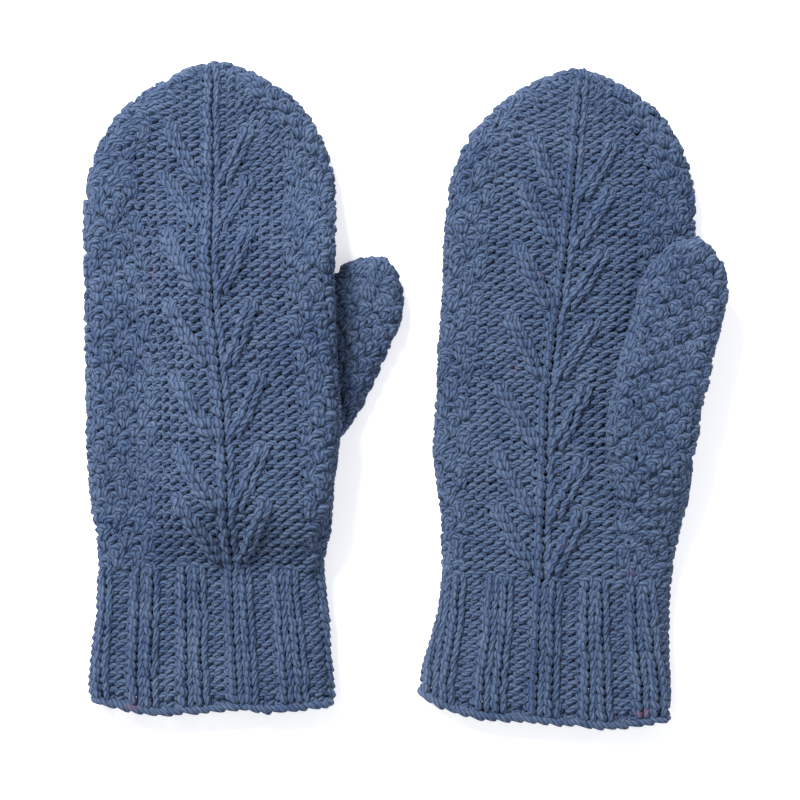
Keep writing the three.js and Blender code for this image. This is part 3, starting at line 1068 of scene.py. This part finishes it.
def woven_end(mitten, node):
    """A yarn end that lies where its solid does."""
    corners = mitten.corners(node)
    middle = corners.mean(0)
    away = corners - middle
    lead = np.linalg.svd(away, full_matrices=False)[2][0]
    reach = (away @ lead).max() * TAIL_SHARE
    steps = np.linspace(-1, 1, 24)
    wave = 0.12 * np.sin(9 * steps)
    line = middle + steps[:, None] * reach * lead + wave[:, None] * np.array([0, 0, 1])
    sideways, along, upwards = line[:, :1], line[:, 1:2], line[:, 2:]
    points = mitten.hem + sideways * mitten.across + along * mitten.up + upwards * np.array([0, 0, 1])
    girth = TAIL_RADIUS * np.sqrt(np.clip(1 - np.abs(steps) ** 12, 0.0, 1)) + 0.01
    return points, girth, False


def fibre_halo(mitten, lines):
    """Short loose fibres that stand off the yarn."""
    random = mitten.random
    points = np.concatenate([line[0] for line in lines])
    along = np.concatenate([np.roll(line[0], -1, 0) - line[0] for line in lines])
    count = int(len(points) * HALO)
    chosen = random.integers(0, len(points), count)
    heading = unit(along[chosen])
    side = unit(np.cross(heading, unit(random.normal(0, 1, (count, 3)))))
    lean = unit(side + heading * random.normal(0, 0.9, (count, 1)))
    curl = unit(random.normal(0, 1, (count, 3)))
    size = random.uniform(0.7, 1.0, count)[:, None]
    size = size * random.choice(HAIR_LENGTHS, (count, 1), p=HAIR_CHANCES)
    root = points[chosen] + side * YARN_RADIUS * HAIR_ROOT
    stops = (0, 0.45, 1)
    body = np.stack([root + lean * size * t + curl * size * 0.5 * t * t for t in stops], 1)
    body[:, :, 2] = np.clip(body[:, :, 2], FLOOR_ROOM, None)
    girth = np.array(HAIR_GIRTHS)
    return [(hair, girth, False) for hair in body]


def join(piece, other):
    with bpy.context.temp_override(active_object=piece, selected_editable_objects=[piece, other]):
        bpy.ops.object.join()


def knit_mitten(mitten):
    side = mitten.side
    swelled, plain, heights, crotch_row = hand_tubes(mitten)
    rounds = knit_hand(mitten, (swelled, plain), heights, crotch_row)
    lines = []
    for row in range(len(rounds)):
        tube = swelled if row < crotch_row else plain
        ratios = (1, 1)
        if row == crotch_row - 1:
            above = zip(plain.levels[row + 1].lengths, swelled.levels[row + 1].lengths)
            ratios = tuple(low / high for low, high in above)
        points, thick = course(tube, rounds, row, mitten.random, ratios)
        lines.append((points, thick, True))
    sections = (
        ("cuff_rib", CUFF_END),
        ("wrist_rounds", WRIST_END),
        ("lower_hand", HAND_MIDDLE),
        ("upper_hand", KNUCKLE_START),
        ("knuckle_rounds", KNUCKLE_END),
        ("finger_section", mitten.length - TIP_LENGTH),
        ("tip_gather", math.inf),
    )
    pieces = {}
    low = 0
    for name, cut in sections:
        chosen = [line for line, y in zip(lines, heights) if low <= y < cut]
        low = cut
        pieces[name] = knitted_piece(mitten, name, chosen)
    tube, thumb_heights = thumb_tube(mitten, heights[crotch_row])
    thumb_rounds = knit_thumb(tube, thumb_heights)
    thumb_lines = []
    for row in range(len(thumb_rounds)):
        points, thick = course(tube, thumb_rounds, row, mitten.random)
        thumb_lines.append((points, thick, True))
    pieces["thumb_gusset"] = knitted_piece(mitten, "thumb_gusset", thumb_lines[:THUMB_GUSSET_ROUNDS])
    pieces["thumb_tube"] = knitted_piece(mitten, "thumb_tube", thumb_lines[THUMB_GUSSET_ROUNDS:])
    edge = cast_on(plain, RIB_STITCHES, mitten.random)
    pieces["cast_on_edge"] = knitted_piece(mitten, "cast_on_edge", edge)
    for tail in ("cast_on_tail", "tip_tail", "thumb_tail"):
        pieces[tail] = spin(f"{side}_{tail}_yarn", [woven_end(mitten, tail)], WOOL)
    return pieces


LEFT = Mitten(
    "left", True,
    palm_trunk=((0, 270), (-3, 0)),
    back_trunk=((6, 59, 130, 171, 254), (11.2, 8.7, 6.2, 1.7, 0)),
    thumb_shift=-0.5,
    thumb_roll=(2.4, -3.0),
    hem_corners=(2.6, 2.6),
    right_swell=((55, 78, 100, 118, 145, 170), (0, 1.8, 1.0, 2.2, 1.0, 0)),
    left_swell=((60, 82, 100, 140, 165, 200, 225, 246, 258), (0, 1.0, 0.2, 0.4, 1.2, 1.6, 0.6, 2.0, 1.0)),
    tip_shift=2.8,
    tip_room=2.9,
    ripple_at=0.2,
    seed=11,
)
RIGHT = Mitten(
    "right", False,
    palm_trunk=((0, 64, 135, 197, 263), (-3.5, -5, -6.9, -2.1, 0.4)),
    back_trunk=((0, 270), (3, 0)),
    thumb_shift=3.6,
    thumb_roll=(0, 0),
    hem_corners=(8.0, 3.0),
    right_swell=((0, 20, 35, 50, 105, 125, 150), (0, 0.8, 2.0, 3.0, 3.4, 1.0, 0)),
    left_swell=((15, 38, 60, 85, 108, 238, 250, 262), (0, -1.8, -1.4, -1.8, 0, 0, -2.4, -1.2)),
    tip_shift=-0.4,
    tip_room=3.4,
    ripple_at=0.55,
    seed=23,
)

for mitten in (LEFT, RIGHT):
    side = mitten.side
    pieces = knit_mitten(mitten)
    hand, cuff, fingers, thumb = (f"{side}_{b}_body" for b in ("hand", "cuff", "fingers", "thumb"))

    def at(x, y):
        middle = np.array([0, 0, LYING_THICKNESS / 2])
        return tuple((mitten.hem + x * mitten.across + y * mitten.up + middle) * METRE)

    for name in ("cuff_rib", "cast_on_edge", "cast_on_tail"):
        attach(pieces[name], cuff)
        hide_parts(f"{side}_{name}")
    for name in ("lower_hand", "upper_hand"):
        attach(pieces[name], hand)
        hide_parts(f"{side}_hand")
    for name in ("finger_section", "tip_gather", "tip_tail"):
        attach(pieces[name], fingers)
        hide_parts(f"{side}_{name}")
    for name in ("thumb_tube", "thumb_tail"):
        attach(pieces[name], thumb)
        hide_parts(f"{side}_{name}")
    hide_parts(f"{side}_thumb_tip_gather")
    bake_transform(pieces["wrist_rounds"])
    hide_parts(f"{side}_wrist_rounds")
    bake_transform(pieces["knuckle_rounds"])
    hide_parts(f"{side}_knuckle_rounds")
    lean = mitten.thumb_direction() * GUSSET_BEND_LENGTH
    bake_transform(pieces["thumb_gusset"])
    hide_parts(f"{side}_thumb_gusset")


# ---------------------------------------------------------------- floor, light and camera

FLOOR_HALF_SIZE = 12.0


def floor():
    mesh = bpy.data.meshes.new("floor")
    half = FLOOR_HALF_SIZE
    corners = [(-half, -half, 0), (half, -half, 0), (half, half, 0), (-half, half, 0)]
    mesh.from_pydata(corners, [], [(0, 1, 2, 3)])
    plane = bpy.data.objects.new("floor", mesh)
    bpy.context.scene.collection.objects.link(plane)
    paper = bpy.data.materials.new("white_ground")
    paper.use_nodes = True
    shade = paper.node_tree.nodes["Principled BSDF"]
    shade.inputs["Base Color"].default_value = (0.93, 0.93, 0.94, 1)
    shade.inputs["Roughness"].default_value = 0.9
    shade.inputs["Emission Color"].default_value = (1, 1, 1, 1)
    shade.inputs["Emission Strength"].default_value = 0.5
    mesh.materials.append(paper)


def area_light(name, place, size, power):
    data = bpy.data.lights.new(name, "AREA")
    data.shape, data.size, data.energy = "DISK", size, power
    lamp = bpy.data.objects.new(name, data)
    lamp.location = place
    lamp.rotation_euler = (-Vector(place)).to_track_quat("-Z", "Y").to_euler()
    bpy.context.scene.collection.objects.link(lamp)


floor()
area_light("key", (-0.6, 0.85, 1.1), 0.6, 36)
area_light("fill", (0.9, -0.5, 1.3), 1.2, 3)
world = bpy.data.worlds.new("studio")
world.use_nodes = True
world.node_tree.nodes["Background"].inputs["Color"].default_value = (0.93, 0.95, 1, 1)
world.node_tree.nodes["Background"].inputs["Strength"].default_value = 0.55
bpy.context.scene.world = world

camera = bpy.data.objects.new("camera", bpy.data.cameras.new("camera"))
bpy.context.scene.collection.objects.link(camera)
bpy.context.scene.camera = camera
camera.data.lens = 85
camera.data.sensor_width = 36
VIEW_WIDTH = 0.3312         # as wide as the view is at VIEW_WIDTH_AT above the floor
VIEW_WIDTH_AT = 0.012
CAMERA_HEIGHT = VIEW_WIDTH * camera.data.lens / camera.data.sensor_width
camera.location = (-0.0014, -0.0025, CAMERA_HEIGHT + VIEW_WIDTH_AT)

bpy.context.scene.view_settings.view_transform = "Standard"
